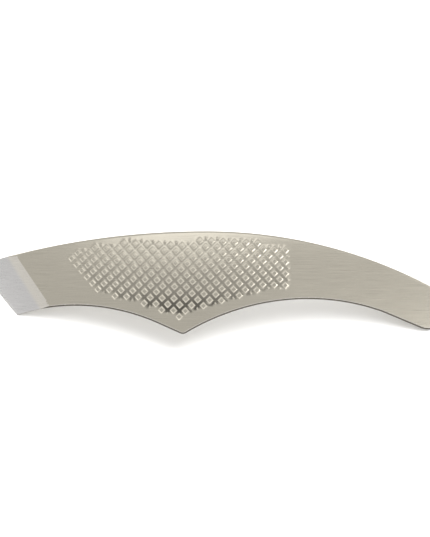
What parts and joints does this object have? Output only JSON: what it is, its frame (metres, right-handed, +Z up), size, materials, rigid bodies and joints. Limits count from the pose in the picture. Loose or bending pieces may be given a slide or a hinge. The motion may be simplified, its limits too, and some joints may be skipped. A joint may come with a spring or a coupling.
{
  "type": "garlic crusher",
  "caption": "One-piece curved steel garlic crusher: a domed blade with a pressed field of studs, a ground scraper at one end and a smooth grip at the other.",
  "frame": {"origin": "centre of the bounding box in X and Y, on the surface that the plate lies on", "axes": "+X from the scraper to the grip, +Y from the pointed lower edge to the long back edge, +Z up, out of the studded side"},
  "size_m": [0.2502, 0.049, 0.0447],
  "materials": {
    "brushed_plate": "fine brushing along the length, satin"
  },
  "bodies": {
    "root": {"crusher_plate": "brushed_plate"}
  },
  "joints": []
}
